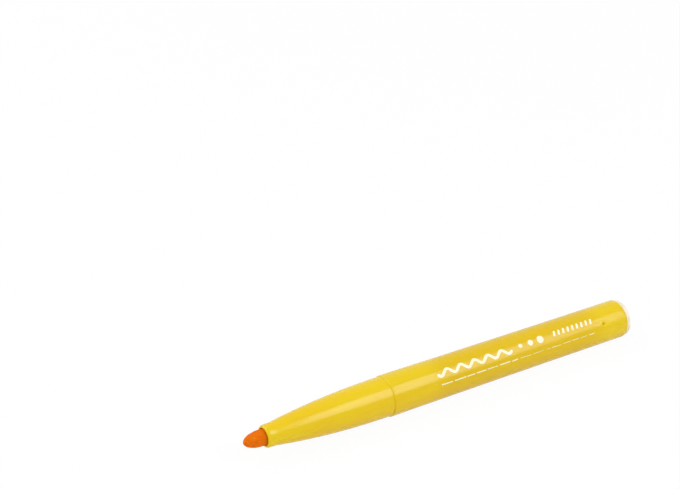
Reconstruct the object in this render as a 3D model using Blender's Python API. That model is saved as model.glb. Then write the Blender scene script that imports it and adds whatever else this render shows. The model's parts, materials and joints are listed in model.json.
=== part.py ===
"""Felt-tip pen lying on its side, with its cap pulled off in line with the nib.

The pen's own axis is X: 0 is the seam between barrel and front section, +X runs to the rear end
and -X to the nib. Sizes are in metres. An outline is a list of (x, radius) points that is turned
about the axis.
"""

import math

import bmesh
import bpy
from mathutils import Matrix, Vector

# Turned pieces
SIDES = 48                      # facets round every turned piece, one of them facing down
ARC_STEPS = 3                   # points along a rounded edge
CURVE_STEPS = 14                # points along a long curved outline
MERGE_DISTANCE = 1e-6
SHARP_ANGLE = 35                # degrees, past which an edge is shaded sharp

# Fits
FIT_GAP = 0.0003                # radial gap of a pressed fit
SEAT_GAP = 0.0003               # gap along the axis where a piece seats
CAP_CLEARANCE = 0.00012         # radial play of the cap on the front section

# Barrel
BARREL_LENGTH = 0.0885
BARREL_FRONT_RADIUS = 0.00643
BARREL_REAR_RADIUS = 0.00606
BARREL_POWER = 2.0              # how soon the taper levels off behind the seam
BARREL_WALL = 0.0010            # at both ends, a little thinner between them
BARREL_EDGE = 0.0003

# Front section: a spigot in the barrel, an ogive, and a collar round the nib
NOSE_LENGTH = 0.0414
NOSE_STEP = 0.00027             # how far its surface lies below the barrel's at the seam
NOSE_POWER = 2.15               # fullness of the ogive
NOSE_WALL = 0.0010
SPIGOT_LENGTH = 0.012
SPIGOT_WALL = 0.0007
THROAT_LENGTH = 0.005
COLLAR_LENGTH = 0.0029
COLLAR_WALL = 0.00078
COLLAR_EDGE = 0.0005

# Nib: a bullet, a shank in the collar, and a slim tail in the ink core
NIB_RADIUS = 0.0025
NIB_FIT = 0.0002
NIB_EXPOSED = 0.00664
NIB_BULLET_LENGTH = 0.0075
NIB_BULLET_POWER = 2.9          # fullness of the bullet's flank
NIB_TIP_POWER = 0.55            # bluntness of its tip
NIB_TAIL_RADIUS = 0.0015
NIB_TAIL_INSERT = 0.007

# Ink core and its film sleeve
FILM_WALL = 0.0002
FILM_SETBACK = 0.001            # length of bare core at each end of the film

# Rear plug
PLUG_DEPTH = 0.007
PLUG_WALL = 0.0009
PLUG_FLOOR = 0.0015
PLUG_FLANGE = 0.0012
PLUG_INSET = 0.0001             # flange edge inside the barrel's rounded rim
PLUG_EDGE = 0.0002

# Cap shell
CAP_WALL = 0.00112
CAP_END_RADIUS = 0.00635
CAP_END_WALL = 0.0014
CAP_END_EDGE = 0.0005
CAP_RECESS = 0.0006
CAP_RIM = 0.0010                # width of the flat rim round the recessed end
CAP_EDGE = 0.0003
CAP_LEAD = 0.006                # straight stretch of bore behind the mouth
CAP_BAND = 0.0022               # smooth band between the mouth and the ribs
RIB_LENGTH = 0.0093
RIB_HEIGHT = 0.00018
RIB_COUNT = 40
RIB_FADE = 0.0015               # length over which a groove runs out at the band
GROOVE_WIDTH = 0.00058
GROOVE_FLOOR_WIDTH = 0.0003
GROOVE_LIFT = 0.00003           # floor of a groove above the taper behind it
GROOVE_START = 0.00004          # height over the ribs at which a groove's cut starts
VENT_RADIUS = 0.0004
VENT_COUNT = 2
VENT_SIDES = 16
CAP_STANDOFF = 0.074            # from the nib's tip to the mouth of the cap that lies ahead of it

# Cap seal: a cup that closes round the collar
SEAL_WALL = 0.0008
SEAL_FLOOR = 0.0014
SEAL_SHOULDER = 0.0005
SEAL_SINK = 0.0003              # boss below the floor of the cap's recess
SEAL_CLEARANCE = 0.0002
SEAL_OVERLAP = 0.0025           # length of collar inside the cup's mouth
SEAL_HEADROOM = 0.0004          # from the collar's rim to the cone behind the cup's mouth
SEAL_CONE = 0.001
NIB_CLEARANCE = 0.0006          # round the nib inside the cup
NIB_HEADROOM = 0.0015           # in front of the nib's tip inside the cup

CUT_MARGIN = 0.0004             # how far a cutter reaches past the surface it cuts


def barrel_radius(x):
    """Outer radius of the barrel: a taper from the seam that levels off towards the rear end."""
    share = (1.0 - x / BARREL_LENGTH) ** BARREL_POWER
    return BARREL_REAR_RADIUS + (BARREL_FRONT_RADIUS - BARREL_REAR_RADIUS) * share


def barrel_bore(x):
    """Inner radius of the barrel, which tapers evenly."""
    share = 1.0 - x / BARREL_LENGTH
    return BARREL_REAR_RADIUS + (BARREL_FRONT_RADIUS - BARREL_REAR_RADIUS) * share - BARREL_WALL


# Front section, from the barrel's bore inwards
SHOULDER_RADIUS = BARREL_FRONT_RADIUS - NOSE_STEP
SPIGOT_RADIUS = barrel_bore(SPIGOT_LENGTH) - FIT_GAP
SPIGOT_BORE = SPIGOT_RADIUS - SPIGOT_WALL
COLLAR_BORE = NIB_RADIUS + NIB_FIT
COLLAR_RADIUS = COLLAR_BORE + COLLAR_WALL
OGIVE_LENGTH = NOSE_LENGTH - COLLAR_LENGTH
CAVITY_SHARE = (SHOULDER_RADIUS - SPIGOT_BORE - NOSE_WALL) / (SHOULDER_RADIUS - COLLAR_RADIUS)
CAVITY_DEPTH = OGIVE_LENGTH * CAVITY_SHARE ** (1.0 / NOSE_POWER)
NIB_TIP = NOSE_LENGTH + NIB_EXPOSED

# Ink core, inside the film, inside the tighter of the spigot's and the barrel's bores
FILM_RADIUS = min(SPIGOT_BORE, barrel_bore(BARREL_LENGTH)) - FIT_GAP
FILM_BORE = FILM_RADIUS - FILM_WALL
CORE_RADIUS = FILM_BORE - FIT_GAP
CORE_FRONT = SEAT_GAP - CAVITY_DEPTH
CORE_REAR = BARREL_LENGTH - PLUG_DEPTH - SEAT_GAP

# Rear plug
PLUG_RADIUS = barrel_bore(BARREL_LENGTH) - FIT_GAP
PLUG_FLANGE_RADIUS = BARREL_REAR_RADIUS - BARREL_EDGE - PLUG_INSET
PLUG_SEAT = BARREL_LENGTH + SEAT_GAP
PEN_REAR = PLUG_SEAT + PLUG_FLANGE

# Cap, measured from its mouth to its closed end. Closed, its mouth stops SEAT_GAP short of the barrel.
COLLAR_IN_CAP = NOSE_LENGTH - SEAT_GAP
SEAL_MOUTH = COLLAR_IN_CAP - SEAL_OVERLAP
SEAL_NECK = COLLAR_IN_CAP + SEAL_HEADROOM
SEAL_BOTTOM = NIB_TIP - SEAT_GAP + NIB_HEADROOM
SEAL_SEAT = SEAL_BOTTOM + SEAL_FLOOR
CAP_INNER_END = SEAL_SEAT + SEAT_GAP
CAP_RECESS_FLOOR = CAP_INNER_END + CAP_END_WALL
CAP_LENGTH = CAP_RECESS_FLOOR + CAP_RECESS
CAP_MOUTH_BORE = SHOULDER_RADIUS + CAP_CLEARANCE
CAP_RADIUS = CAP_MOUTH_BORE + CAP_WALL
CAP_TAPER_RADIUS = CAP_RADIUS - RIB_HEIGHT
CAP_END_BORE = CAP_END_RADIUS - CAP_WALL
RIB_END = CAP_BAND + RIB_LENGTH
SEAL_BORE = NIB_RADIUS + NIB_CLEARANCE
SEAL_RADIUS = SEAL_BORE + SEAL_WALL
BOSS_RADIUS = SEAL_RADIUS - SEAL_SHOULDER
SEAL_MOUTH_BORE = COLLAR_RADIUS + SEAL_CLEARANCE
VENT_CIRCLE = (SEAL_RADIUS + CAP_END_BORE) / 2
CAP_MOUTH = -(NIB_TIP + CAP_STANDOFF)

# The axis leans: the rear rim rests on the ground with the barrel's front rim or the cap's mouth rim.
REST_X = BARREL_LENGTH - BARREL_EDGE
FRONT_LEAN = math.atan2(BARREL_FRONT_RADIUS - BARREL_REAR_RADIUS, REST_X - BARREL_EDGE)
CAP_LEAN = math.atan2(CAP_RADIUS - BARREL_REAR_RADIUS, REST_X - CAP_MOUTH + CAP_EDGE)
LEAN = max(FRONT_LEAN, CAP_LEAN)
FACET_SHARE = math.cos(math.pi / SIDES)     # radius at the middle of a facet, over the radius at its edges
AXIS_HEIGHT = REST_X * math.sin(LEAN) + BARREL_REAR_RADIUS * FACET_SHARE * math.cos(LEAN)
AXIS_SHIFT = -(PEN_REAR + CAP_MOUTH - CAP_LENGTH) / 2 * math.cos(LEAN)


def clear_scene():
    for old in list(bpy.data.objects):
        bpy.data.objects.remove(old, do_unlink=True)


def moulded(name, color, roughness):
    """A plain material. Colours are linear red, green and blue."""
    finish = bpy.data.materials.new(name)
    finish.use_nodes = True
    shader = finish.node_tree.nodes["Principled BSDF"]
    shader.inputs["Base Color"].default_value = (*color, 1.0)
    shader.inputs["Roughness"].default_value = roughness
    shader.inputs["Metallic"].default_value = 0.0
    return finish


def empty(name, parent=None):
    frame = bpy.data.objects.new(name, None)
    frame.parent = parent
    bpy.context.scene.collection.objects.link(frame)
    return frame


def add_object(name, bm, finish, parent):
    """Make a smooth-shaded object of a bmesh, with its faces turned outwards."""
    bmesh.ops.recalc_face_normals(bm, faces=bm.faces)
    mesh = bpy.data.meshes.new(name)
    bm.to_mesh(mesh)
    bm.free()
    mesh.shade_smooth()
    mesh.set_sharp_from_angle(angle=math.radians(SHARP_ANGLE))
    obj = bpy.data.objects.new(name, mesh)
    if finish:
        mesh.materials.append(finish)
    obj.parent = parent
    bpy.context.scene.collection.objects.link(obj)
    return obj


def rounded_edge(center_x, center_radius, edge, start, stop):
    """Quarter-round points about a centre, from angle to angle: 0 is +X and 90 is away from the axis."""
    points = []
    for step in range(ARC_STEPS + 1):
        angle = math.radians(start + (stop - start) * step / ARC_STEPS)
        points.append((center_x + edge * math.cos(angle), center_radius + edge * math.sin(angle)))
    return points


def turned(name, outline, finish, parent):
    """Spin an outline about the axis. One that doesn't start and end on the axis is closed first."""
    bm = bmesh.new()
    start = math.pi / SIDES
    aside = Vector((0.0, math.sin(start), -math.cos(start)))
    points = [bm.verts.new(aside * radius + Vector((x, 0.0, 0.0))) for x, radius in outline]
    edges = [bm.edges.new(pair) for pair in zip(points, points[1:])]
    if outline[0][1] > 0.0:
        edges.append(bm.edges.new((points[-1], points[0])))
    bmesh.ops.spin(bm, geom=points + edges, cent=(0, 0, 0), axis=(1, 0, 0), angle=math.tau, steps=SIDES,
                   use_merge=True)
    bmesh.ops.remove_doubles(bm, verts=bm.verts, dist=MERGE_DISTANCE)
    return add_object(name, bm, finish, parent)


def nose_radius(depth):
    """Ogive: a power curve that leaves the shoulder level and meets the collar at OGIVE_LENGTH."""
    return SHOULDER_RADIUS - (SHOULDER_RADIUS - COLLAR_RADIUS) * (depth / OGIVE_LENGTH) ** NOSE_POWER


def bullet_radius(depth):
    """Nib at a depth behind its tip: blunt at the tip and full at NIB_BULLET_LENGTH."""
    left = 1.0 - depth / NIB_BULLET_LENGTH
    return NIB_RADIUS * (1.0 - left ** NIB_BULLET_POWER) ** NIB_TIP_POWER


def make_barrel(finish, parent):
    outline = [(0.0, barrel_bore(0.0))]
    outline += rounded_edge(BARREL_EDGE, BARREL_FRONT_RADIUS - BARREL_EDGE, BARREL_EDGE, 180, 90)
    for step in range(1, CURVE_STEPS):
        x = BARREL_EDGE + (REST_X - BARREL_EDGE) * step / CURVE_STEPS
        outline.append((x, barrel_radius(x)))
    outline += rounded_edge(REST_X, BARREL_REAR_RADIUS - BARREL_EDGE, BARREL_EDGE, 90, 0)
    outline.append((BARREL_LENGTH, barrel_bore(BARREL_LENGTH)))
    return turned("barrel", outline, finish, parent)


def make_front_section(finish, parent):
    seam = -SEAT_GAP
    outline = [(SPIGOT_LENGTH, SPIGOT_BORE), (SPIGOT_LENGTH, SPIGOT_RADIUS), (seam, SPIGOT_RADIUS)]
    for step in range(CURVE_STEPS + 1):
        depth = SEAT_GAP + (OGIVE_LENGTH - SEAT_GAP) * step / CURVE_STEPS
        outline.append((-depth, nose_radius(depth)))
    outline += rounded_edge(COLLAR_EDGE - NOSE_LENGTH, COLLAR_RADIUS - COLLAR_EDGE, COLLAR_EDGE, 90, 180)
    outline.append((-NOSE_LENGTH, COLLAR_BORE))
    outline.append((-CAVITY_DEPTH - THROAT_LENGTH, COLLAR_BORE))
    outline.append((-CAVITY_DEPTH, SPIGOT_BORE))
    return turned("front_section", outline, finish, parent)


def make_nib(finish, parent):
    outline = [(-NIB_TIP, 0.0)]
    for step in range(1, CURVE_STEPS + 1):
        depth = NIB_BULLET_LENGTH * (step / CURVE_STEPS) ** 2
        outline.append((depth - NIB_TIP, bullet_radius(depth)))
    outline.append((-CAVITY_DEPTH - THROAT_LENGTH, NIB_RADIUS))
    outline.append((CORE_FRONT - SEAT_GAP, NIB_TAIL_RADIUS))
    tail_end = CORE_FRONT + NIB_TAIL_INSERT
    outline += [(tail_end, NIB_TAIL_RADIUS), (tail_end, 0.0)]
    return turned("nib", outline, finish, parent)


def make_ink_core(finish, parent):
    socket_end = CORE_FRONT + NIB_TAIL_INSERT + SEAT_GAP
    socket_radius = NIB_TAIL_RADIUS + FIT_GAP
    outline = [(socket_end, 0.0), (socket_end, socket_radius), (CORE_FRONT, socket_radius)]
    outline += [(CORE_FRONT, CORE_RADIUS), (CORE_REAR, CORE_RADIUS), (CORE_REAR, 0.0)]
    return turned("ink_core", outline, finish, parent)


def make_core_film(finish, parent):
    front = CORE_FRONT + FILM_SETBACK
    rear = CORE_REAR - FILM_SETBACK
    outline = [(front, FILM_BORE), (front, FILM_RADIUS), (rear, FILM_RADIUS), (rear, FILM_BORE)]
    return turned("core_film", outline, finish, parent)


def make_rear_plug(finish, parent):
    front = BARREL_LENGTH - PLUG_DEPTH
    floor = PEN_REAR - PLUG_FLOOR
    outline = [(floor, 0.0), (floor, PLUG_RADIUS - PLUG_WALL), (front, PLUG_RADIUS - PLUG_WALL)]
    outline += [(front, PLUG_RADIUS), (PLUG_SEAT, PLUG_RADIUS), (PLUG_SEAT, PLUG_FLANGE_RADIUS)]
    outline += rounded_edge(PEN_REAR - PLUG_EDGE, PLUG_FLANGE_RADIUS - PLUG_EDGE, PLUG_EDGE, 90, 0)
    outline.append((PEN_REAR, 0.0))
    return turned("rear_plug", outline, finish, parent)


def around(angle, x, radius, aside=0.0):
    """Point at an angle round the axis from straight down, moved aside along the surface."""
    outward = Vector((0.0, math.sin(angle), -math.cos(angle)))
    along = Vector((0.0, math.cos(angle), math.sin(angle)))
    return outward * radius + along * aside + Vector((x, 0.0, 0.0))


def add_groove(bm, angle):
    """Closed wedge that cuts one groove between two ribs and runs out before the smooth band."""
    top = CAP_RADIUS + CUT_MARGIN
    floor = CAP_TAPER_RADIUS + GROOVE_LIFT
    widen = (GROOVE_WIDTH - GROOVE_FLOOR_WIDTH) / 2 / (CAP_RADIUS - floor)
    rings = []
    for depth, bottom in ((CAP_BAND, CAP_RADIUS + GROOVE_START), (CAP_BAND + RIB_FADE, floor),
                          (RIB_END + CUT_MARGIN, floor)):
        low = GROOVE_FLOOR_WIDTH / 2 + widen * (bottom - floor)
        high = GROOVE_FLOOR_WIDTH / 2 + widen * (top - floor)
        corners = ((bottom, -low), (bottom, low), (top, high), (top, -high))
        rings.append([bm.verts.new(around(angle, -depth, radius, aside)) for radius, aside in corners])
    for near, far in zip(rings, rings[1:]):
        for k in range(len(near)):
            bm.faces.new((near[k], near[k - 1], far[k - 1], far[k]))
    bm.faces.new(rings[0])
    bm.faces.new(reversed(rings[-1]))


def make_cap_cutter(parent):
    """Grooves between the ribs and the vent holes in the end, in one hidden cutter."""
    bm = bmesh.new()
    for k in range(RIB_COUNT):
        add_groove(bm, (k + 0.5) * math.tau / RIB_COUNT)
    length = CAP_END_WALL + 2 * CUT_MARGIN
    middle = -(CAP_INNER_END + CAP_END_WALL / 2)
    along_axis = Matrix.Rotation(math.pi / 2, 4, "Y")
    for k in range(VENT_COUNT):
        center = around((k + 0.5) * math.tau / VENT_COUNT, middle, VENT_CIRCLE)
        bmesh.ops.create_cone(bm, cap_ends=True, segments=VENT_SIDES, radius1=VENT_RADIUS,
                              radius2=VENT_RADIUS, depth=length,
                              matrix=Matrix.Translation(center) @ along_axis)
    cutter = add_object("cap_cutter", bm, None, parent)
    cutter.hide_render = True
    cutter.display_type = "WIRE"
    return cutter


def make_cap_shell(finish, parent):
    outline = [(-CAP_LEAD, CAP_MOUTH_BORE), (0.0, CAP_MOUTH_BORE)]
    outline += rounded_edge(-CAP_EDGE, CAP_RADIUS - CAP_EDGE, CAP_EDGE, 0, 90)
    outline += [(-RIB_END, CAP_RADIUS), (-RIB_END, CAP_TAPER_RADIUS)]
    outline += rounded_edge(CAP_END_EDGE - CAP_LENGTH, CAP_END_RADIUS - CAP_END_EDGE, CAP_END_EDGE, 90, 180)
    outline += [(-CAP_LENGTH, CAP_END_RADIUS - CAP_RIM), (-CAP_RECESS_FLOOR, CAP_END_RADIUS - CAP_RIM)]
    outline += [(-CAP_RECESS_FLOOR, BOSS_RADIUS + FIT_GAP), (-CAP_INNER_END, BOSS_RADIUS + FIT_GAP)]
    outline.append((-CAP_INNER_END, CAP_END_BORE))
    shell = turned("cap_shell", outline, finish, parent)
    cut = shell.modifiers.new("grooves_and_vents", "BOOLEAN")
    cut.operation = "DIFFERENCE"
    cut.solver = "EXACT"
    cut.object = make_cap_cutter(parent)
    return shell


def make_cap_seal(finish, parent):
    boss_end = -(CAP_RECESS_FLOOR - SEAL_SINK)
    cone_end = SEAL_NECK + SEAL_CONE
    mouth_radius = SEAL_MOUTH_BORE + SEAL_WALL
    outline = [(boss_end, 0.0), (boss_end, BOSS_RADIUS)]
    outline += [(-SEAL_SEAT, BOSS_RADIUS), (-SEAL_SEAT, SEAL_RADIUS)]
    outline += [(-cone_end, SEAL_RADIUS), (-SEAL_NECK, mouth_radius), (-SEAL_MOUTH, mouth_radius)]
    outline += [(-SEAL_MOUTH, SEAL_MOUTH_BORE), (-SEAL_NECK, SEAL_MOUTH_BORE), (-cone_end, SEAL_BORE)]
    outline += [(-SEAL_BOTTOM, SEAL_BORE), (-SEAL_BOTTOM, 0.0)]
    return turned("cap_seal", outline, finish, parent)


def main():
    clear_scene()
    pen_axis = empty("pen_axis")
    pen_axis.location = (AXIS_SHIFT, 0.0, AXIS_HEIGHT)
    pen_axis.rotation_euler = (0.0, LEAN, 0.0)
    cap_axis = empty("cap_axis", pen_axis)
    cap_axis.location = (CAP_MOUTH, 0.0, 0.0)

    make_barrel(moulded("barrel_yellow", (0.81, 0.58, 0.02), 0.28), pen_axis)
    make_front_section(moulded("nose_yellow", (0.81, 0.57, 0.02), 0.30), pen_axis)
    make_nib(moulded("nib_orange", (0.83, 0.17, 0.01), 0.85), pen_axis)
    make_ink_core(moulded("inked_fibre", (0.80, 0.42, 0.03), 0.95), pen_axis)
    make_core_film(moulded("film", (0.86, 0.84, 0.74), 0.15), pen_axis)
    make_rear_plug(moulded("plug_natural", (0.91, 0.84, 0.70), 0.35), pen_axis)
    make_cap_shell(moulded("cap_yellow", (0.83, 0.63, 0.02), 0.30), cap_axis)
    make_cap_seal(moulded("seal_yellow", (0.83, 0.63, 0.02), 0.35), cap_axis)


main()
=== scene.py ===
import json
import math

import bpy
import numpy as np
from mathutils import Matrix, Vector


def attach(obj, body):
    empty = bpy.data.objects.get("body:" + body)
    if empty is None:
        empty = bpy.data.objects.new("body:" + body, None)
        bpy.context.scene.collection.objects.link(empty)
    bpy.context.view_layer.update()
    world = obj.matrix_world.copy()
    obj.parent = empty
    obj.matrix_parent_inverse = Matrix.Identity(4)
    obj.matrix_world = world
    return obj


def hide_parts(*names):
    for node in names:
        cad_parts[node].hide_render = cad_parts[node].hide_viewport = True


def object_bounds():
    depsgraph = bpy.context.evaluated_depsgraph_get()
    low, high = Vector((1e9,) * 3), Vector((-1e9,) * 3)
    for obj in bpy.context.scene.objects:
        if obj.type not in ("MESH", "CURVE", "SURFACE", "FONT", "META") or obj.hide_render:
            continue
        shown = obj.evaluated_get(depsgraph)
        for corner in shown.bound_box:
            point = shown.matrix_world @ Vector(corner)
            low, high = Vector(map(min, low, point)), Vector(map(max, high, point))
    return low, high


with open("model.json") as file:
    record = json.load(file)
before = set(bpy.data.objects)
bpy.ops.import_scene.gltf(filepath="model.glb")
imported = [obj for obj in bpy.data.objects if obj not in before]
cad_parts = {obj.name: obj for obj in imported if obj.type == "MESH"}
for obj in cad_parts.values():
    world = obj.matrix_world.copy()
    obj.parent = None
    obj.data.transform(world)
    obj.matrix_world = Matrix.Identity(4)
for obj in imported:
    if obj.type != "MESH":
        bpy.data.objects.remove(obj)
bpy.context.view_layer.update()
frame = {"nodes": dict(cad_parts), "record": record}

scene = bpy.context.scene
mm = 0.001               # settings are in millimetres and degrees unless a note says otherwise
hair = 0.01              # slack when two lengths are compared
touching = 1e-6          # points no further apart than this are one
sharpAngle = math.radians(40.0)            # edges bent further than this stay crisp

# The pen's axis comes from the record: x runs along it from the seam, + to the rear end, - to the nib.
mounts = {mount["name"]: mount for mount in frame["record"]["mounts"]}
rearFace = np.array(mounts["rear_end"]["pos_m"])
axisDir = np.array(mounts["rear_end"]["axis"])
axisDir = axisDir / np.linalg.norm(axisDir)
nearDir = np.array((0.0, -1.0, 0.0))       # level, to the camera's side
upDir = np.cross(nearDir, axisDir)


def cadReach(node, origin):
    # first and last place of a CAD node along the axis, in mm from an origin on it
    mesh = frame["nodes"][node].data
    flat = np.empty(3 * len(mesh.vertices), np.float32)
    mesh.vertices.foreach_get("co", flat)
    along = (flat.reshape(-1, 3) - origin) @ axisDir / mm
    return along.min(), along.max()


seam = rearFace + axisDir * mm * cadReach("barrel", rearFace)[0]
reach = {node: cadReach(node, seam) for node in frame["nodes"]}
capMouth = reach["cap_shell"][1]
print("frame: seam at", seam.round(5), "cap mouth at", round(capMouth, 2), "mm")


# Surfaces

def onAxis(x, radius, angle):
    # world point: x along the axis, radius away from it, angle turned from straight up to the near side
    x, radius, angle = np.broadcast_arrays(x, radius, angle)
    outward = np.cos(angle)[..., None] * upDir + np.sin(angle)[..., None] * nearDir
    return seam + mm * (x[..., None] * axisDir + radius[..., None] * outward)


def line(start, end, count):
    # evenly spaced (x, radius) points from start to end
    share = np.linspace(0.0, 1.0, count)[:, None]
    return np.array(start) * (1.0 - share) + np.array(end) * share


def bend(center, size, fromAngle, toAngle, count=7):
    # elliptic arc of (x, radius) points about a centre: 0 degrees is to the rear, 90 away from the axis
    angle = np.radians(np.linspace(fromAngle, toAngle, count))
    return np.stack([center[0] + size[0] * np.cos(angle), center[1] + size[1] * np.sin(angle)], axis=1)


def outlineOf(*stretches):
    # stretches end to end, with points that repeat left out
    points = np.vstack(stretches)
    apart = np.linalg.norm(np.diff(points, axis=0), axis=1) > touching
    return points[np.concatenate([[True], apart])]


def circleOf(columns):
    # evenly spaced angles, once round
    return np.linspace(0.0, math.tau, columns, endpoint=False)


def thickened(values, place, width, count):
    # values with a denser run of count values about a place
    extra = np.linspace(place - width / 2, place + width / 2, count)
    rest = values[np.abs(values - place) > width / 2]
    return np.sort(np.concatenate([rest, extra]))


def smoothStep(low, high, value):
    # 0 up to low, 1 from high on, and a cubic ease between them
    share = np.clip((value - low) / (high - low), 0.0, 1.0)
    return share * share * (3.0 - 2.0 * share)


def valueNoise(u, v, rows, columns, seed):
    # smooth noise from -1 to 1 on a random lattice; u and v run from 0 to 1 and v closes on itself
    lattice = np.random.default_rng(seed).uniform(-1.0, 1.0, (rows + 2, columns))
    a, b = u * rows, v * columns
    i, j = np.floor(a).astype(int), np.floor(b).astype(int)
    s, t = smoothStep(0.0, 1.0, a - i), smoothStep(0.0, 1.0, b - j)
    i = np.clip(i, 0, rows)
    j0, j1 = j % columns, (j + 1) % columns
    low = lattice[i, j0] * (1 - t) + lattice[i, j1] * t
    high = lattice[i + 1, j0] * (1 - t) + lattice[i + 1, j1] * t
    return low * (1 - s) + high * s


def skin(points, poles):
    # closed mesh of a grid: columns close round the axis; rows close into a ring, or with poles the first
    # and the last row are one point each, joined to their neighbour row by a fan of triangles
    rows, columns = points.shape[:2]
    if poles:
        index = np.zeros((rows, columns), int)
        index[1:-1] = 1 + np.arange((rows - 2) * columns).reshape(rows - 2, columns)
        index[-1] = (rows - 2) * columns + 1
        places = np.vstack([points[0, :1], points[1:-1].reshape(-1, 3), points[-1, :1]])
        near, far = index[1:-2], index[2:-1]
    else:
        index = np.arange(rows * columns).reshape(rows, columns)
        places = points.reshape(-1, 3)
        near, far = index, np.roll(index, -1, axis=0)
    quads = np.stack([near, np.roll(near, -1, 1), np.roll(far, -1, 1), far], axis=-1).reshape(-1, 4)
    fans = np.zeros((0, 3), int)
    if poles:
        first = np.stack([index[0], np.roll(index[1], -1), index[1]], axis=-1)
        last = np.stack([index[-2], np.roll(index[-2], -1), index[-1]], axis=-1)
        fans = np.vstack([first, last])
    corners = places - places.mean(axis=0)
    halves = np.vstack([quads[:, :3], quads[:, [0, 2, 3]], fans])
    a, b, c = (corners[halves[:, k]] for k in range(3))
    if np.einsum("ij,ij->", a, np.cross(b, c)) < 0:      # negative volume: turn the faces round
        quads, fans = quads[:, ::-1], fans[:, ::-1]
    return places, quads.tolist() + fans.tolist()


def turned(outline, circle, shift=0.0, swell=0.0):
    # surface of revolution: row i and column j is outline point i at circle angle j,
    # moved by shift along the axis and by swell away from it
    points = onAxis(outline[:, :1] + shift, outline[:, 1:] + swell, circle[None, :])
    return skin(points, outline[0, 1] < touching)


def addPiece(name, solid, finish, body, node=None):
    # a mesh from (places, faces), shaded smooth, riding on its body
    mesh = bpy.data.meshes.new(name)
    mesh.from_pydata(solid[0], [], solid[1])
    mesh.shade_smooth()
    mesh.set_sharp_from_angle(angle=sharpAngle)
    mesh.materials.append(finish)
    piece = bpy.data.objects.new(name, mesh)
    scene.collection.objects.link(piece)
    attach(piece, body)
    if node:
        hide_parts(node)
    print("piece:", name, len(solid[1]), "faces")
    return piece


# Finishes

def screen(red, green, blue):
    # screen colour of 0 to 255 to linear light, by the standard screen curve
    value = np.array((red, green, blue)) / 255.0
    linear = np.where(value <= 0.04045, value / 12.92, ((value + 0.055) / 1.055) ** 2.4)
    return (*linear.tolist(), 1.0)


def newFinish(name):
    # a material and the sockets of its shader
    finish = bpy.data.materials.new(name)
    finish.use_nodes = True
    return finish, finish.node_tree.nodes["Principled BSDF"].inputs


def addNode(finish, kind, sockets=None, **settings):
    # a shader node with its settings and the values of its sockets
    node = finish.node_tree.nodes.new("ShaderNode" + kind)
    for key, value in settings.items():
        setattr(node, key, value)
    for key, value in (sockets or {}).items():
        node.inputs[key].default_value = value
    return node


def join(finish, source, target):
    # a link from an output to an input
    finish.node_tree.links.new(source, target)


def grain(finish, scale, detail=3.0, roughness=0.55):
    # noise from 0 to 1 on Object coordinates; scale is per metre along x, y and z
    place = addNode(finish, "TexCoord")
    mapping = addNode(finish, "Mapping", {"Scale": scale})
    noise = addNode(finish, "TexNoise", {"Scale": 1.0, "Detail": detail, "Roughness": roughness})
    join(finish, place.outputs["Object"], mapping.inputs["Vector"])
    join(finish, mapping.outputs["Vector"], noise.inputs["Vector"])
    return noise.outputs["Fac"]


def remap(finish, value, fromLow, fromHigh, toLow, toHigh):
    # value eased from one range to another
    node = addNode(finish, "MapRange", {"From Min": fromLow, "From Max": fromHigh, "To Min": toLow,
                                        "To Max": toHigh}, interpolation_type="SMOOTHSTEP")
    join(finish, value, node.inputs["Value"])
    return node.outputs["Result"]


def mixColor(finish, share, low, high):
    # from low to high by a share; both are colours or sockets, which go to the colour inputs 6 and 7
    node = addNode(finish, "Mix", data_type="RGBA")
    join(finish, share, node.inputs[0])
    for value, target in ((low, node.inputs[6]), (high, node.inputs[7])):
        if isinstance(value, tuple):
            target.default_value = value
        else:
            join(finish, value, target)
    return node.outputs[2]


def addBump(finish, height, strength, depth, under=None):
    # bump of a depth in mm, on top of another one if there is one under it
    node = addNode(finish, "Bump", {"Strength": strength, "Distance": depth * mm})
    join(finish, height, node.inputs["Height"])
    if under:
        join(finish, under, node.inputs["Normal"])
    return node.outputs["Normal"]


def between(finish, fromX, toX, fade, share):
    # a share from one place on the axis to another, 0 outside, with a soft fade inside both ends
    place = addNode(finish, "TexCoord")
    parts = addNode(finish, "SeparateXYZ")
    join(finish, place.outputs["Object"], parts.inputs[0])
    low, high = seam[0] + mm * fromX, seam[0] + mm * toX
    both = addNode(finish, "Math", operation="MULTIPLY")
    join(finish, remap(finish, parts.outputs["X"], low, low + mm * fade, 0.0, share), both.inputs[0])
    join(finish, remap(finish, parts.outputs["X"], high - mm * fade, high, 1.0, 0.0), both.inputs[1])
    return both.outputs[0]


def glossRange(look):
    # lowest and highest roughness of a finish
    return look["roughness"] + look["glossSpread"][0], look["roughness"] + look["glossSpread"][1]


moulding = {                                           # what all the yellow plastic shares
    "driftScale": (45.0, 110.0, 110.0), "driftRange": (0.35, 0.65),
    "scuffScale": (160.0, 5200.0, 5200.0), "scuffRange": (0.66, 0.80), "lineDepth": 0.01,
    "smudgeScale": (90.0, 260.0, 260.0), "smudgeRange": (0.3, 0.7), "glossSpread": (-0.03, 0.05),
    "peelScale": (1500.0, 1500.0, 1500.0), "peelDepth": 0.02,
    "shine": 0.31, "index": 1.49, "glow": 0.08, "glowRadius": (1.0, 0.6, 0.1), "glowDepth": 1.2,
}


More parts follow.
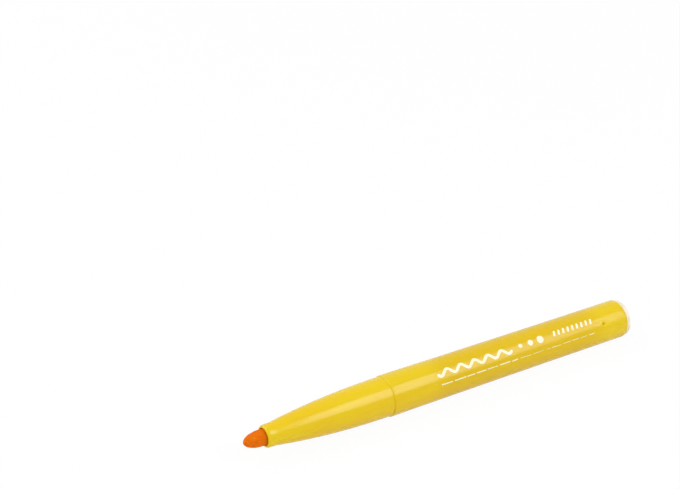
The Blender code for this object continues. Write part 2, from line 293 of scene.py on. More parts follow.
def mouldedPlastic(name, look, shadeStretch=None):
    # glossy moulded plastic: slow drift between two tones, fine scuffs along the axis, orange peel;
    # painted shade: the stretch of the axis given last gets a deeper tone
    look = {**moulding, **look}
    finish, sockets = newFinish(name)
    drift = remap(finish, grain(finish, look["driftScale"], detail=2.0), *look["driftRange"], 0.0, 1.0)
    tone = mixColor(finish, drift, look["tone"], look["toneWarm"])
    if shadeStretch:
        # painted shade: a deeper tone over that stretch of the axis
        shade = between(finish, *shadeStretch, look["paintedShadeFade"], look["paintedShade"])
        tone = mixColor(finish, shade, tone, look["tonePaintedShade"])
    scuff = grain(finish, look["scuffScale"], detail=2.0)
    worn = remap(finish, scuff, *look["scuffRange"], 0.0, look["scuff"])
    join(finish, mixColor(finish, worn, tone, look["toneWorn"]), sockets["Base Color"])
    smudge = grain(finish, look["smudgeScale"], detail=4.0)
    join(finish, remap(finish, smudge, *look["smudgeRange"], *glossRange(look)), sockets["Roughness"])
    peel = addBump(finish, grain(finish, look["peelScale"], detail=2.0), look["peel"], look["peelDepth"])
    join(finish, addBump(finish, scuff, look["drawLines"], look["lineDepth"], peel), sockets["Normal"])
    sockets["IOR"].default_value = look["index"]
    sockets["Specular IOR Level"].default_value = look["shine"]
    sockets["Subsurface Weight"].default_value = look["glow"]
    sockets["Subsurface Radius"].default_value = look["glowRadius"]
    sockets["Subsurface Scale"].default_value = look["glowDepth"] * mm
    return finish


# Barrel: tapered tube with rounded rims and the moulding gate's mark

barrel = {
    "frontRadius": 6.43, "rearRadius": 6.06, "power": 2.0, "wall": 1.0, "edge": 0.3,
    "frontEdge": 0.75, "frontDrop": 0.32,              # length and depth of the round on the front rim
    "columns": 220, "rows": 90, "skinDepth": 0.05,     # the relief is on rows no deeper than this
    "gateX": 79.3, "gateAngle": 56.0,                  # mark left where the plastic was let in
    "gateRing": 0.85, "gateRingWidth": 0.24, "gateRingHeight": 0.07,
    "gatePit": 0.34, "gatePitDepth": 0.5, "gatePitPower": 4,
    "gateSpan": 2.6, "gateTurn": 0.42, "gateLines": 44,                # finer grid, in mm and radians
    "waver": 0.012, "waverGrid": (9, 5), "waverSeed": 11,              # how far it strays from its taper
    "look": {
        "tone": screen(231, 199, 5), "toneWarm": screen(230, 193, 3), "toneWorn": screen(243, 219, 92),
        "scuff": 0.25, "roughness": 0.22, "peel": 0.12, "drawLines": 0.10,
        # painted shade: a deeper tone over the middle of the barrel, with a soft fade at both ends
        "tonePaintedShade": screen(222, 185, 3), "paintedShade": 0.8, "paintedShadeFade": 9.0,
    },
}
barrelLength = reach["barrel"][1] - reach["barrel"][0]


def barrelRadius(x):
    # taper from the seam that levels off towards the rear end, as a power curve
    share = np.clip(1.0 - x / barrelLength, 0.0, 1.0) ** barrel["power"]
    return barrel["rearRadius"] + (barrel["frontRadius"] - barrel["rearRadius"]) * share


def barrelRelief(x, angle):
    # slow noise, plus the gate: a raised ring round a small pit, by distance on the unrolled surface
    along, turn = np.clip(x / barrelLength, 0.0, 1.0), angle / math.tau
    slow = valueNoise(along, turn, *barrel["waverGrid"], barrel["waverSeed"]) * barrel["waver"]
    across = (angle - math.radians(barrel["gateAngle"])) * barrelRadius(x)
    away = np.hypot(x - barrel["gateX"], across)
    fromRing = (away - barrel["gateRing"]) / barrel["gateRingWidth"]
    ring = barrel["gateRingHeight"] * np.exp(-fromRing ** 2)
    pit = barrel["gatePitDepth"] * np.exp(-(away / barrel["gatePit"]) ** barrel["gatePitPower"])
    return slow + ring - pit


def makeBarrel():
    # outline of bore, front rim, outside and rear rim, turned about the axis, with relief on the outside
    edge, frontEdge, drop, rear = barrel["edge"], barrel["frontEdge"], barrel["frontDrop"], barrelLength
    frontRim, rearRim = barrel["frontRadius"] - drop, barrel["rearRadius"] - edge
    boreFront, boreRear = barrel["frontRadius"] - barrel["wall"], barrel["rearRadius"] - barrel["wall"]
    alongX = np.linspace(frontEdge, rear - edge, barrel["rows"])
    alongX = thickened(alongX, barrel["gateX"], barrel["gateSpan"], barrel["gateLines"])
    outside = np.stack([alongX, barrelRadius(alongX)], axis=1)
    outside[0, 1], outside[-1, 1] = barrel["frontRadius"], barrel["rearRadius"]
    outline = outlineOf(
        line((rear, boreRear), (0.0, boreFront), count=6),
        bend((frontEdge, frontRim), (frontEdge, drop), 180, 90, count=10),
        outside,
        bend((rear - edge, rearRim), (edge, edge), 90, 0))
    gateAngle = math.radians(barrel["gateAngle"])
    circle = thickened(circleOf(barrel["columns"]), gateAngle, barrel["gateTurn"], barrel["gateLines"])
    onSkin = outline[:, 1:] > barrelRadius(outline[:, :1]) - barrel["skinDepth"]
    swell = barrelRelief(outline[:, :1], circle[None, :]) * onSkin
    paintedShadeSpan = reach["front_section"][1], reach["rear_plug"][0]        # painted shade from the front section's end to the plug
    finish = mouldedPlastic("barrelYellow", barrel["look"], paintedShadeSpan)
    solid = turned(outline, circle, 0.0, swell)
    addPiece("barrelTube", solid, finish, "pen", "barrel")


makeBarrel()


# Print on the barrel: a wavy stroke, growing dots, slanted ticks and a broken rule

inkPrint = {
    "waveAngle": 43.0, "dotAngle": 40.0, "tickAngle": 37.0, "ruleAngle": 74.0,  # turned from straight up
    "film": 0.025, "filmRise": 3.0, "flatness": 0.6, "sides": 10,      # section of a stroke
    "waveStart": 16.3, "waveEnd": 44.1, "waveHeight": 0.84, "waves": 5.5,
    "waveWidth": 0.95, "waveSteps": 220,
    "dotStart": 47.5, "dotStep": 3.8, "dotRadii": (0.7, 0.95, 1.2), "dotSteps": 24,
    "tickStart": 60.7, "tickEnd": 74.9, "ticks": 9,
    "tickHeight": 1.8, "tickLean": 0.6, "tickWidth": 0.75, "tickSteps": 20,
    "ruleStart": 16.8, "ruleEnd": 75.2, "ruleWidth": 0.3, "ruleSpread": (0.7, 1.15), "ruleWaver": 0.1,
    "dashes": 15, "dash": (1.2, 6.0), "gap": (0.3, 1.3), "dashSteps": 24, "seed": 4,
    "faintFrom": 46.0, "faintTo": 71.0, "faintShare": 0.5,             # worn part of the rule
    "tone": screen(250, 244, 214), "toneWorn": screen(244, 224, 118),
    "wornScale": (500.0, 1800.0, 1800.0), "wornRange": (0.5, 0.72), "wornShare": 0.9,
    "roughness": 0.45, "wornRoughness": 0.28,
}


def inkStroke(path, width, angle):
    # flattened tube carried along a path: path is (x, arc) on the unrolled barrel, the section is an oval
    # as wide as the stroke and as high as the film, and both ends are round
    steps = np.linalg.norm(np.diff(path, axis=0), axis=1)
    run = np.concatenate([[0.0], np.cumsum(steps)])
    fromEnd = np.minimum(run, run[-1] - run) / (width / 2)
    swell = np.sqrt(1.0 - (1.0 - np.clip(fromEnd, 0.0, 1.0)) ** 2)[:, None]
    heading = np.gradient(path, axis=0)
    heading = heading / np.linalg.norm(heading, axis=1, keepdims=True)
    turn = circleOf(inkPrint["sides"])[None, :]
    flat = np.sign(np.sin(turn)) * np.abs(np.sin(turn)) ** inkPrint["flatness"]
    aside = swell * width / 2 * np.cos(turn)
    x = path[:, :1] - heading[:, 1:] * aside
    arc = path[:, 1:] + heading[:, :1] * aside
    radius = barrelRadius(x)
    around = math.radians(angle) + arc / radius
    film = inkPrint["film"] * flat * np.clip(swell * inkPrint["filmRise"], 0.0, 1.0)
    lift = barrelRelief(x, around) + film
    return skin(onAxis(x, radius + lift, around), True)


def waveStroke():
    # sine along the axis
    share = np.linspace(0.0, 1.0, inkPrint["waveSteps"])
    x = inkPrint["waveStart"] + (inkPrint["waveEnd"] - inkPrint["waveStart"]) * share
    arc = inkPrint["waveHeight"] * np.sin(math.tau * inkPrint["waves"] * share)
    return inkStroke(np.stack([x, arc], axis=1), inkPrint["waveWidth"], inkPrint["waveAngle"])


def dotStrokes():
    # strokes as long as they are wide
    for k, radius in enumerate(inkPrint["dotRadii"]):
        middle = inkPrint["dotStart"] + inkPrint["dotStep"] * k
        path = line((middle - radius, 0.0), (middle + radius, 0.0), inkPrint["dotSteps"])
        yield inkStroke(path, 2 * radius, inkPrint["dotAngle"])


def tickStrokes():
    # even row of short strokes across the axis, all leaning the same way
    lean, half = inkPrint["tickLean"] / 2, inkPrint["tickHeight"] / 2
    for x in np.linspace(inkPrint["tickStart"], inkPrint["tickEnd"], inkPrint["ticks"]):
        path = line((x - lean, half), (x + lean, -half), inkPrint["tickSteps"])
        yield inkStroke(path, inkPrint["tickWidth"], inkPrint["tickAngle"])


def ruleStrokes():
    # dashes and gaps of random lengths, stretched to fill the rule
    draw = np.random.default_rng(inkPrint["seed"])
    lows, highs = zip(inkPrint["dash"], inkPrint["gap"])
    runs = np.cumsum(draw.uniform(lows, highs, (inkPrint["dashes"], 2)))          # a dash, then a gap
    rule = inkPrint["ruleStart"], inkPrint["ruleEnd"]
    ends = np.interp(np.concatenate([[0.0], runs]), (0.0, runs[-2]), rule)
    for start, end in ends[:-1].reshape(-1, 2):
        arcs = draw.uniform(-inkPrint["ruleWaver"], inkPrint["ruleWaver"], 2)
        width = inkPrint["ruleWidth"] * draw.uniform(*inkPrint["ruleSpread"])
        if inkPrint["faintFrom"] < (start + end) / 2 < inkPrint["faintTo"]:
            width *= inkPrint["faintShare"]
        path = line((start, arcs[0]), (end, arcs[1]), inkPrint["dashSteps"])
        yield inkStroke(path, width, inkPrint["ruleAngle"])


def makePrint():
    # all strokes as one mesh, in ink that is worn off in spots
    places, faces, count = [], [], 0
    for solid in (waveStroke(), *dotStrokes(), *tickStrokes(), *ruleStrokes()):
        places.append(solid[0])
        faces += [[k + count for k in face] for face in solid[1]]
        count += len(solid[0])
    finish, sockets = newFinish("printWhite")
    wear = grain(finish, inkPrint["wornScale"], detail=4.0)
    worn = remap(finish, wear, *inkPrint["wornRange"], 0.0, inkPrint["wornShare"])
    join(finish, mixColor(finish, worn, inkPrint["tone"], inkPrint["toneWorn"]), sockets["Base Color"])
    gloss = remap(finish, worn, 0.0, 1.0, inkPrint["roughness"], inkPrint["wornRoughness"])
    join(finish, gloss, sockets["Roughness"])
    addPiece("barrelPrint", (np.vstack(places), faces), finish, "pen")


makePrint()


# Front section: spigot inside the barrel, ogive, collar round the nib

nose = {
    "shoulderRadius": 6.16, "collarRadius": 3.48, "collarLength": 2.9, "power": 2.15, "mouth": 2.7,
    "lipLength": 1.0, "lipDepth": 0.5, "mouthEdge": 0.12, "seamGap": 0.02, "shoulderEdge": 0.04,
    "spigotRadius": 5.08, "spigotBore": 4.38, "cavity": 21.69, "throat": 5.0,
    "columns": 220, "rows": 80,
    "look": {
        "tone": screen(233, 201, 5), "toneWarm": screen(232, 195, 3), "toneWorn": screen(243, 219, 92),
        "scuff": 0.2, "roughness": 0.21, "peel": 0.10, "drawLines": 0.08,
    },
}


def makeNose():
    # turned outline; the ogive is a power curve of the depth in front of the seam, level at the seam
    tip, spigot = reach["front_section"]
    start = -nose["seamGap"]
    ogive = -tip - nose["collarLength"]
    throat = -nose["cavity"] - nose["throat"]
    edge, mouthEdge, mouth = nose["shoulderEdge"], nose["mouthEdge"], nose["mouth"]
    spigotRadius, bore = nose["spigotRadius"], nose["spigotBore"]
    depth = np.linspace(-start + edge, ogive, nose["rows"])
    drop = nose["shoulderRadius"] - nose["collarRadius"]
    radius = nose["shoulderRadius"] - drop * (depth / ogive) ** nose["power"]
    lip = tip + nose["lipLength"], nose["collarRadius"] - nose["lipDepth"]
    outline = outlineOf(
        line((spigot, bore), (spigot, spigotRadius), count=2),
        line((spigot, spigotRadius), (start, spigotRadius), count=4),
        bend((start - edge, nose["shoulderRadius"] - edge), (edge, edge), 0, 90, count=5),
        np.stack([-depth, radius], axis=1),
        bend(lip, (nose["lipLength"], nose["lipDepth"]), 90, 180, count=12),
        bend((tip + mouthEdge, mouth + mouthEdge), (mouthEdge, mouthEdge), 180, 270, count=5),
        line((tip + mouthEdge, mouth), (throat, mouth), count=6),
        line((-nose["cavity"], bore), (spigot, bore), count=4)[:-1])
    finish = mouldedPlastic("noseYellow", nose["look"])
    solid = turned(outline, circleOf(nose["columns"]))
    addPiece("noseShell", solid, finish, "pen", "front_section")


makeNose()


# Nib: pressed fibre, blunt bullet

nib = {
    "radius": 2.5, "bulletLength": 7.5, "flankPower": 2.9, "tipPower": 0.55, "tailRadius": 1.5,
    "shankEnd": -26.69, "tailStart": -21.69, "columns": 260, "rows": 150, "crowding": 1.6,
    "fibreGrid": (14, 110), "fibreSeed": 21, "fibreHeight": 0.022,
    "strayGrid": (30, 65), "straySeed": 22, "strayShare": 0.6,         # short fibres among the long ones
    "lumpGrid": (10, 9), "lumpSeed": 23, "lumpHeight": 0.03,
    "gridReach": 1.5, "feltLength": 9.0, "calm": 1.2,                  # smooth inside and at the very tip
    "tone": screen(235, 122, 3), "toneDeep": screen(221, 97, 1), "toneDry": screen(243, 146, 22),
    "toneCollarShade": screen(198, 104, 1), "collarShadeShare": 0.5, "collarShadeFade": 2.0,  # painted shade by the collar
    "strandScale": (420.0, 5200.0, 5200.0), "strandRange": (0.32, 0.68),
    "strandBump": 0.5, "strandDepth": 0.06,
    "soakScale": (330.0, 330.0, 330.0), "soakRange": (0.52, 0.78), "soakShare": 0.5,
    "pileScale": (6000.0, 9000.0, 9000.0), "pileBump": 0.35, "pileDepth": 0.05,
    "roughness": 0.88, "shine": 0.12,
}


def nibRelief(x, radius, angle, tip):
    # long and short fibres and soft lumps, as noise along and round the bullet
    u = np.clip((x - tip) / (nib["bulletLength"] * nib["gridReach"]), 0.0, 1.0)
    v = angle / math.tau
    fibres = valueNoise(u, v, *nib["fibreGrid"], nib["fibreSeed"])
    fibres = fibres + nib["strayShare"] * valueNoise(u, v, *nib["strayGrid"], nib["straySeed"])
    lumps = valueNoise(u, v, *nib["lumpGrid"], nib["lumpSeed"])
    fade = smoothStep(0.0, nib["calm"], radius) * (x < tip + nib["feltLength"])
    return (nib["fibreHeight"] * fibres + nib["lumpHeight"] * lumps) * fade


def nibFelt(tail):
    # strands of two tones, drier spots, and a band of painted shade that starts next to the collar
    finish, sockets = newFinish("nibFelt")
    strand = grain(finish, nib["strandScale"], detail=5.0, roughness=0.65)
    soak = grain(finish, nib["soakScale"])
    light = remap(finish, strand, *nib["strandRange"], 0.0, 1.0)
    tone = mixColor(finish, light, nib["toneDeep"], nib["tone"])
    dry = remap(finish, soak, *nib["soakRange"], 0.0, nib["soakShare"])
    tone = mixColor(finish, dry, tone, nib["toneDry"])
    mouth = reach["front_section"][0]
    # painted shade on the felt where it goes into the collar
    collarShade = between(finish, mouth - nib["collarShadeFade"], tail, nib["collarShadeFade"], nib["collarShadeShare"])
    join(finish, mixColor(finish, collarShade, tone, nib["toneCollarShade"]), sockets["Base Color"])
    sockets["Roughness"].default_value = nib["roughness"]
    sockets["Specular IOR Level"].default_value = nib["shine"]
    pile = addBump(finish, grain(finish, nib["pileScale"]), nib["pileBump"], nib["pileDepth"])
    join(finish, addBump(finish, strand, nib["strandBump"], nib["strandDepth"], pile), sockets["Normal"])
    return finish


def makeNib():
    # bullet: a power of how full the flank is, which is itself a power curve of the depth behind the tip
    tip, tail = reach["nib"]
    radius, tailRadius = nib["radius"], nib["tailRadius"]
    depth = nib["bulletLength"] * np.linspace(0.0, 1.0, nib["rows"]) ** nib["crowding"]
    full = 1.0 - (1.0 - depth / nib["bulletLength"]) ** nib["flankPower"]
    outline = outlineOf(
        np.stack([tip + depth, radius * full ** nib["tipPower"]], axis=1),
        line((tip + nib["bulletLength"], radius), (nib["shankEnd"], radius), count=8),
        line((nib["tailStart"], tailRadius), (tail, tailRadius), count=3),
        line((tail, tailRadius), (tail, 0.0), count=2))
    circle = circleOf(nib["columns"])
    x, angle = np.broadcast_arrays(outline[:, :1], circle[None, :])
    solid = turned(outline, circle, 0.0, nibRelief(x, outline[:, 1:], angle, tip))
    addPiece("nibBullet", solid, nibFelt(tail), "pen", "nib")


makeNib()


# Rear plug: thimble pressed into the barrel, its flange shows as a pale rim

plug = {
    "flangeRadius": 5.7, "radius": 4.76, "wall": 0.9, "floor": 1.5, "flange": 1.35,
    "edge": 0.22, "seatEdge": 0.1, "columns": 180, "faceRows": 60,
    "dish": 0.14, "dishRadius": 4.5, "dishEdge": 0.3,
    "grooveRadius": 3.0, "grooveWidth": 0.35, "grooveDepth": 0.12, "groovePower": 4,
    "nubRadius": 0.5, "nubHeight": 0.1, "nubEdge": 0.1,
    "tone": screen(243, 233, 209), "toneWarm": screen(239, 226, 196),
    "cloudScale": (260.0, 260.0, 260.0), "cloudRange": (0.3, 0.7),
    "roughness": 0.34, "glossSpread": (-0.04, 0.06),
    "grainScale": (2200.0, 2200.0, 2200.0), "grainBump": 0.1, "grainDepth": 0.02,
    "glow": 0.25, "glowRadius": (1.0, 0.9, 0.7), "glowDepth": 1.0,
}


def plugFace(rear, rho):
    # x of the rear face over the distance from the axis: a dish with a ring groove and a nub in it
    dish = plug["dish"] * smoothStep(plug["dishRadius"] + plug["dishEdge"], plug["dishRadius"], rho)
    fromGroove = (rho - plug["grooveRadius"]) / (plug["grooveWidth"] / 2)
    groove = plug["grooveDepth"] * np.exp(-fromGroove ** plug["groovePower"])
    nubEdge = plug["nubEdge"]
    nub = plug["nubHeight"] * smoothStep(plug["nubRadius"] + nubEdge, plug["nubRadius"] - nubEdge, rho)
    return rear - dish - groove + nub


def plugNatural():
    # uncoloured plastic: cloudy, a little see-through
    finish, sockets = newFinish("plugNatural")
    cloud = grain(finish, plug["cloudScale"])
    join(finish, mixColor(finish, cloud, plug["tone"], plug["toneWarm"]), sockets["Base Color"])
    join(finish, remap(finish, cloud, *plug["cloudRange"], *glossRange(plug)), sockets["Roughness"])
    fine = grain(finish, plug["grainScale"])
    join(finish, addBump(finish, fine, plug["grainBump"], plug["grainDepth"]), sockets["Normal"])
    sockets["Subsurface Weight"].default_value = plug["glow"]
    sockets["Subsurface Radius"].default_value = plug["glowRadius"]
    sockets["Subsurface Scale"].default_value = plug["glowDepth"] * mm
    return finish


def makePlug():
    # turned outline of thimble, flange and rear face
    front, rear = reach["rear_plug"]
    edge, seatEdge = plug["edge"], plug["seatEdge"]
    flangeRadius, radius = plug["flangeRadius"], plug["radius"]
    floor, hollow, seat = rear - plug["floor"], radius - plug["wall"], rear - plug["flange"]
    rho = np.linspace(0.0, flangeRadius - edge, plug["faceRows"])[::-1]
    outline = outlineOf(
        line((floor, 0.0), (floor, hollow), count=3),
        line((front, hollow), (front, radius), count=2),
        line((seat, radius), (seat, flangeRadius - seatEdge), count=2),
        bend((seat + seatEdge, flangeRadius - seatEdge), (seatEdge, seatEdge), 180, 90, count=4),
        bend((rear - edge, flangeRadius - edge), (edge, edge), 90, 0),
        np.stack([plugFace(rear, rho), rho], axis=1))
    solid = turned(outline, circleOf(plug["columns"]))
    addPiece("rearPlug", solid, plugNatural(), "pen", "rear_plug")


makePlug()


# Cap shell: taper, ribs behind a smooth band, recessed end with two vents

cap = {
    "radius": 7.40, "taperRadius": 7.22, "endRadius": 6.35,
    "mouthBore": 6.28, "endBore": 5.23, "lead": 6.0,
    "rim": 1.0, "recess": 0.6, "endWall": 1.4, "bossHole": 3.7,
    "edge": 0.3, "mouthEdge": 0.15, "endEdge": 0.5, "rimEdge": 0.12, "holeEdge": 0.08,
    "band": 2.2, "ribs": 40, "ribFade": 1.5, "ribEnd": 11.5, "ribRows": 46,
    "ribStep": 0.12, "taperRows": 40,                  # length of the step from the ribs to the taper
    "grooveDepth": 0.17, "grooveShare": 0.5, "grooveFlanks": (0.18, 0.22),
    "vents": 2, "ventRadius": 0.42, "ventCircle": 4.565, "ventSides": 40,
    "ventOver": 0.5, "columns": 640,                   # a pin stands out this far on both sides
    "look": {
        "tone": screen(236, 206, 30), "toneWarm": screen(234, 199, 26), "toneWorn": screen(244, 222, 96),
        "scuff": 0.25, "roughness": 0.25, "peel": 0.14, "drawLines": 0.08,
    },
}


def ribRelief(depth, angle):
    # grooves between the ribs: a rounded trapezoid wave round the cap that fades in behind the band,
    # with a rib straight down
    wave = 0.5 - 0.5 * np.cos(angle * cap["ribs"])
    level = 1.0 - cap["grooveShare"]
    hollow = smoothStep(level - cap["grooveFlanks"][0], level + cap["grooveFlanks"][1], wave)
    fade = smoothStep(cap["band"], cap["band"] + cap["ribFade"], depth) * (depth < cap["ribEnd"] + hair)
    return -cap["grooveDepth"] * hollow * fade


def cutVents(shell, innerX, endX):
    # one pin for each vent, parallel to the axis through the end wall, taken out of the shell
    turn = circleOf(cap["ventSides"])
    ring = cap["ventRadius"] * np.array([0.0, 1.0, 1.0, 0.0])[:, None]
    pinStart, pinEnd = innerX + cap["ventOver"], endX - cap["ventOver"]
    along = np.array([pinStart, pinStart, pinEnd, pinEnd])[:, None]
    for k in range(cap["vents"]):
        angle = (k + 0.5) * math.tau / cap["vents"]
        middle = onAxis(along, cap["ventCircle"], angle)
        places, faces = skin(middle + onAxis(along, ring, turn[None, :]) - onAxis(along, 0.0, 0.0), True)
        mesh = bpy.data.meshes.new("ventPin")
        mesh.from_pydata(places, [], faces)
        pin = bpy.data.objects.new("ventPin", mesh)
        scene.collection.objects.link(pin)
        cut = shell.modifiers.new("vent", "BOOLEAN")
        cut.operation = "DIFFERENCE"
        cut.solver = "EXACT"
        cut.object = pin
        evaluated = shell.evaluated_get(bpy.context.evaluated_depsgraph_get())
        cutMesh = bpy.data.meshes.new_from_object(evaluated)
        shell.modifiers.clear()
        shell.data = cutMesh
        bpy.data.objects.remove(pin)
    shell.data.set_sharp_from_angle(angle=sharpAngle)
    print("vents:", cap["vents"], "cut,", len(shell.data.polygons), "faces")


def makeCap():
    # outline of bore, mouth, ribbed band, taper and recessed end over the depth from the mouth, turned
    length = capMouth - reach["cap_shell"][0]
    floor = length - cap["recess"]
    wall = floor - cap["endWall"]
    edge, mouthEdge, endEdge = cap["edge"], cap["mouthEdge"], cap["endEdge"]
    rimEdge, holeEdge = cap["rimEdge"], cap["holeEdge"]
    radius, endRadius, hole = cap["radius"], cap["endRadius"], cap["bossHole"]
    lead, mouthBore, endBore = cap["lead"], cap["mouthBore"], cap["endBore"]
    rimBore = endRadius - cap["rim"]
    taperStart = cap["ribEnd"] + cap["ribStep"]
    depthOutline = outlineOf(
        line((wall, hole), (wall, endBore), count=3),
        line((wall, endBore), (lead, mouthBore), count=16),
        line((lead, mouthBore), (mouthEdge, mouthBore), count=5),
        bend((mouthEdge, mouthBore + mouthEdge), (-mouthEdge, mouthEdge), 270, 360, count=4),
        bend((edge, radius - edge), (-edge, edge), 0, 90, count=6),
        line((edge, radius), (cap["ribEnd"], radius), cap["ribRows"]),
        line((taperStart, cap["taperRadius"]), (length - endEdge, endRadius), cap["taperRows"]),
        bend((length - endEdge, endRadius - endEdge), (endEdge, endEdge), 90, 0, count=8),
        bend((length - rimEdge, rimBore + rimEdge), (rimEdge, -rimEdge), 0, 90, count=4),
        line((floor, rimBore), (floor, hole + holeEdge), count=5),
        line((floor - holeEdge, hole), (wall, hole), count=3)[:-1])
    circle = circleOf(cap["columns"])
    onRibs = depthOutline[:, 1:] > radius - hair
    swell = ribRelief(depthOutline[:, :1], circle[None, :]) * onRibs
    outline = np.stack([capMouth - depthOutline[:, 0], depthOutline[:, 1]], axis=1)
    finish = mouldedPlastic("capYellow", cap["look"])
    solid = turned(outline, circle, 0.0, swell)
    shell = addPiece("capShell", solid, finish, "cap", "cap_shell")
    cutVents(shell, capMouth - wall, capMouth - length)


makeCap()


# Cap seal: cup round the nib, its boss closes the cap's end

seal = {
    "neck": 41.5, "cone": 42.5, "bottom": 49.24, "seat": 50.64,        # depths from the cap's mouth
    "bore": 3.1, "radius": 3.9, "boss": 3.64, "mouthBore": 3.68, "wall": 0.8, "sink": 0.2, "edge": 0.15,
    "grooveRadius": 2.35, "grooveWidth": 0.5, "grooveDepth": 0.4, "groovePower": 6,
    "grooveOpen": 70.0, "grooveTurn": 20.0, "grooveEase": 0.06,        # the ease is in radians
    "nubRadius": 0.55, "nubHeight": 0.12, "nubEdge": 0.12, "columns": 200, "faceRows": 70,
}


def bossRelief(radius, angle):
    # how far the boss is moved inwards: an open ring groove, less a nub in the middle
    turn = (angle - math.radians(seal["grooveTurn"]) + math.pi) % math.tau - math.pi
    gap, ease = math.radians(seal["grooveOpen"]) / 2, seal["grooveEase"]
    ends = smoothStep(gap - ease, gap + ease, np.abs(turn))
    fromGroove = (radius - seal["grooveRadius"]) / (seal["grooveWidth"] / 2)
    groove = np.exp(-fromGroove ** seal["groovePower"]) * ends
    nub = smoothStep(seal["nubRadius"] + seal["nubEdge"], seal["nubRadius"] - seal["nubEdge"], radius)
    return seal["grooveDepth"] * groove - seal["nubHeight"] * nub


def makeSeal():
    # turned outline of boss, seat, outside, mouth and bore, with the relief on the boss
    mouthX = reach["cap_seal"][1]
    bossX = reach["cap_shell"][0] + cap["recess"] + seal["sink"]
    neck, cone, bottom, seat = (capMouth - seal[key] for key in ("neck", "cone", "bottom", "seat"))
    edge, boss, bore, mouthBore = seal["edge"], seal["boss"], seal["bore"], seal["mouthBore"]
    outer = mouthBore + seal["wall"]
    rho = np.linspace(0.0, boss - edge, seal["faceRows"])
    outline = outlineOf(
        np.stack([np.full_like(rho, bossX), rho], axis=1),
        bend((bossX + edge, boss - edge), (-edge, edge), 0, 90, count=6),
        line((seat, boss), (seat, seal["radius"]), count=2),
        line((cone, seal["radius"]), (neck, outer), count=3),
        line((neck, outer), (mouthX, outer), count=3),
        line((mouthX, mouthBore), (neck, mouthBore), count=3),
        line((cone, bore), (bottom, bore), count=4),
        line((bottom, bore), (bottom, 0.0), count=4))
    circle = circleOf(seal["columns"])
    onFace = np.arange(len(outline))[:, None] < len(rho)
    shift = bossRelief(outline[:, 1:], circle[None, :]) * onFace
    finish = mouldedPlastic("sealYellow", cap["look"])
    addPiece("capSeal", turned(outline, circle, shift), finish, "cap", "cap_seal")


makeSeal()


# Ink core and film stay as CAD nodes, inside

inside = {
    "core": screen(238, 172, 40), "coreDeep": screen(220, 140, 20), "coreRoughness": 0.95,
    "strandScale": (120.0, 3200.0, 3200.0), "strandBump": 0.5, "strandDepth": 0.08,
    "film": screen(236, 232, 214), "filmWarm": screen(228, 220, 190), "filmRoughness": (0.1, 0.25),
    "hazeScale": (300.0, 900.0, 900.0), "hazeRange": (0.3, 0.7),
}


def coreFibre():
    # matt strands of two tones along the axis
    finish, sockets = newFinish("coreFibre")
    strand = grain(finish, inside["strandScale"], detail=5.0, roughness=0.65)
    join(finish, mixColor(finish, strand, inside["coreDeep"], inside["core"]), sockets["Base Color"])
    join(finish, addBump(finish, strand, inside["strandBump"], inside["strandDepth"]), sockets["Normal"])
    sockets["Roughness"].default_value = inside["coreRoughness"]
    return finish


def coreFilm():
    # glossy film with a slow haze in tone and gloss
    finish, sockets = newFinish("coreFilm")
    haze = grain(finish, inside["hazeScale"])
    join(finish, mixColor(finish, haze, inside["film"], inside["filmWarm"]), sockets["Base Color"])
    gloss = remap(finish, haze, *inside["hazeRange"], *inside["filmRoughness"])
    join(finish, gloss, sockets["Roughness"])
    return finish


def dressInside():
    # each of the two nodes gets its finish in place of the plain one
    for node, finish in (("ink_core", coreFibre()), ("core_film", coreFilm())):
        materials = frame["nodes"][node].data.materials
        materials.clear()
        materials.append(finish)
        print("dressed:", node)


dressInside()


# Floor, light and camera

studio = {                                             # sizes in metres, power in watts
    "floorSize": 30.0, "floorTone": screen(248, 248, 248), "floorRoughness": 0.9,
    "floorWhite": 0.95, "floorGloss": 0.5,             # how white it is to the eye and in gloss
    "fillFrom": (0.0, -0.90, 0.44), "fillReach": (-0.2, 0.8),      # brightest behind and above the pen
    "fillLow": 0.19, "fillHigh": 0.33,
    "boxes": [                                         # direction along the axis, to the near side and up
        {"name": "keyBox", "toward": (0.42, 0.585, 0.65), "away": 0.95,
         "long": 0.53, "wide": 0.66, "power": 5.2},
        {"name": "noseBox", "toward": (-0.86, 0.14, 0.49), "away": 1.5,
         "long": 0.7, "wide": 1.6, "power": 7.8},
        {"name": "rimBox", "toward": (-0.36, -0.50, 0.78), "away": 1.0,
         "long": 0.35, "wide": 0.8, "power": 4.5},
    ],
}


def seenShare(tree, toEye, inGloss):
    # how far rays see plain white: a share for the eye's own rays and one for those in gloss and glass
    path = tree.nodes.new("ShaderNodeLightPath")
    shares = {"Is Camera Ray": toEye, "Is Glossy Ray": inGloss, "Is Transmission Ray": inGloss}
    total = None
    for ray, share in shares.items():
        part = tree.nodes.new("ShaderNodeMath")
        part.operation = "MULTIPLY_ADD"
        part.use_clamp = True
        tree.links.new(path.outputs[ray], part.inputs[0])
        part.inputs[1].default_value = share
        part.inputs[2].default_value = 0.0
        if total:
            tree.links.new(total, part.inputs[2])
        total = part.outputs[0]
    return total


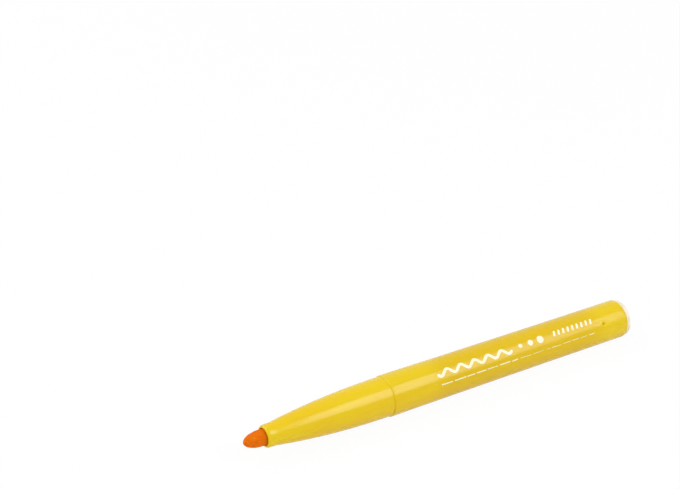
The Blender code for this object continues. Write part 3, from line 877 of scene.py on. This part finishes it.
def makeFloor():
    # one square under the part, mostly plain white to the eye, so that a faint shadow is left on it
    half, height = studio["floorSize"] / 2, float(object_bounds()[0][2])
    corners = [(-half, -half, height), (half, -half, height), (half, half, height), (-half, half, height)]
    mesh = bpy.data.meshes.new("floor")
    mesh.from_pydata(corners, [], [(0, 1, 2, 3)])
    floor = bpy.data.objects.new("floor", mesh)
    scene.collection.objects.link(floor)
    finish, sockets = newFinish("floorPale")
    sockets["Base Color"].default_value = studio["floorTone"]
    sockets["Roughness"].default_value = studio["floorRoughness"]
    sockets["Specular IOR Level"].default_value = 0.0
    tree = finish.node_tree
    white = tree.nodes.new("ShaderNodeEmission")
    mix = tree.nodes.new("ShaderNodeMixShader")
    tree.links.new(seenShare(tree, studio["floorWhite"], studio["floorGloss"]), mix.inputs[0])
    tree.links.new(tree.nodes["Principled BSDF"].outputs[0], mix.inputs[1])
    tree.links.new(white.outputs[0], mix.inputs[2])
    tree.links.new(mix.outputs[0], tree.nodes["Material Output"].inputs[0])
    mesh.materials.append(finish)
    print("floor: at", round(height / mm, 2), "mm")


def toward(parts):
    # unit direction from its parts along the axis, to the near side and up
    direction = parts[0] * axisDir + parts[1] * nearDir + parts[2] * upDir
    return direction / np.linalg.norm(direction)


def makeFill():
    # white world to the eye and in gloss; as light it is dim on the near side and brighter behind the pen
    world = bpy.data.worlds.new("studio")
    scene.world = world
    world.use_nodes = True
    tree = world.node_tree
    fill = tree.nodes["Background"]
    fill.inputs[0].default_value = (1.0, 1.0, 1.0, 1.0)
    place = tree.nodes.new("ShaderNodeTexCoord")
    facing = tree.nodes.new("ShaderNodeVectorMath")
    facing.operation = "DOT_PRODUCT"
    facing.inputs[1].default_value = toward(studio["fillFrom"]).tolist()
    rise = tree.nodes.new("ShaderNodeMapRange")
    rise.interpolation_type = "SMOOTHSTEP"
    rise.inputs["From Min"].default_value, rise.inputs["From Max"].default_value = studio["fillReach"]
    rise.inputs["To Min"].default_value = studio["fillLow"]
    rise.inputs["To Max"].default_value = studio["fillHigh"]
    tree.links.new(place.outputs["Generated"], facing.inputs[0])
    tree.links.new(facing.outputs["Value"], rise.inputs["Value"])
    tree.links.new(rise.outputs["Result"], fill.inputs[1])
    white = tree.nodes.new("ShaderNodeBackground")
    white.inputs[0].default_value = (1.0, 1.0, 1.0, 1.0)
    mix = tree.nodes.new("ShaderNodeMixShader")
    tree.links.new(seenShare(tree, 1.0, 1.0), mix.inputs[0])
    tree.links.new(fill.outputs[0], mix.inputs[1])
    tree.links.new(white.outputs[0], mix.inputs[2])
    tree.links.new(mix.outputs[0], tree.nodes["World Output"].inputs[0])
    print("fill:", studio["fillLow"], "to", studio["fillHigh"])


def makeBoxes():
    # softboxes that face the seam, with their long side along the pen
    for box in studio["boxes"]:
        lamp = bpy.data.lights.new(box["name"], "AREA")
        lamp.shape = "RECTANGLE"
        lamp.size = box["long"]
        lamp.size_y = box["wide"]
        lamp.energy = box["power"]
        out = toward(box["toward"])
        wide = np.cross(out, axisDir)
        wide = wide / np.linalg.norm(wide)
        long = np.cross(wide, out)
        turn = Matrix([long.tolist(), wide.tolist(), out.tolist()]).transposed().to_4x4()
        softbox = bpy.data.objects.new(box["name"], lamp)
        softbox.matrix_world = Matrix.Translation((seam + out * box["away"]).tolist()) @ turn
        scene.collection.objects.link(softbox)
        print("lamp:", box["name"], box["power"], "W")


eye = {"back": -279.63, "near": 417.81, "height": 327.90, "azimuth": 32.302, "elevation": 28.243,
       "roll": 0.155, "lens": 105.78, "clipStart": 10.0}


def makeCamera():
    # place from the seam along the axis, to the near side and above the ground; turned right by azimuth
    # from square to the pen, then down by elevation, then rolled
    lens = bpy.data.cameras.new("camera")
    lens.lens = eye["lens"]
    lens.clip_start = mm * eye["clipStart"]
    camera = bpy.data.objects.new("camera", lens)
    turn = (Matrix.Rotation(math.radians(-eye["azimuth"]), 4, "Z")
            @ Matrix.Rotation(math.radians(90.0 - eye["elevation"]), 4, "X")
            @ Matrix.Rotation(math.radians(eye["roll"]), 4, "Z"))
    place = (seam[0] + mm * eye["back"], -mm * eye["near"], mm * eye["height"])
    camera.matrix_world = Matrix.Translation(place) @ turn
    scene.collection.objects.link(camera)
    scene.camera = camera
    print("camera: lens", eye["lens"], "mm")


makeFloor()
makeFill()
makeBoxes()
makeCamera()
scene.view_settings.view_transform = "Standard"
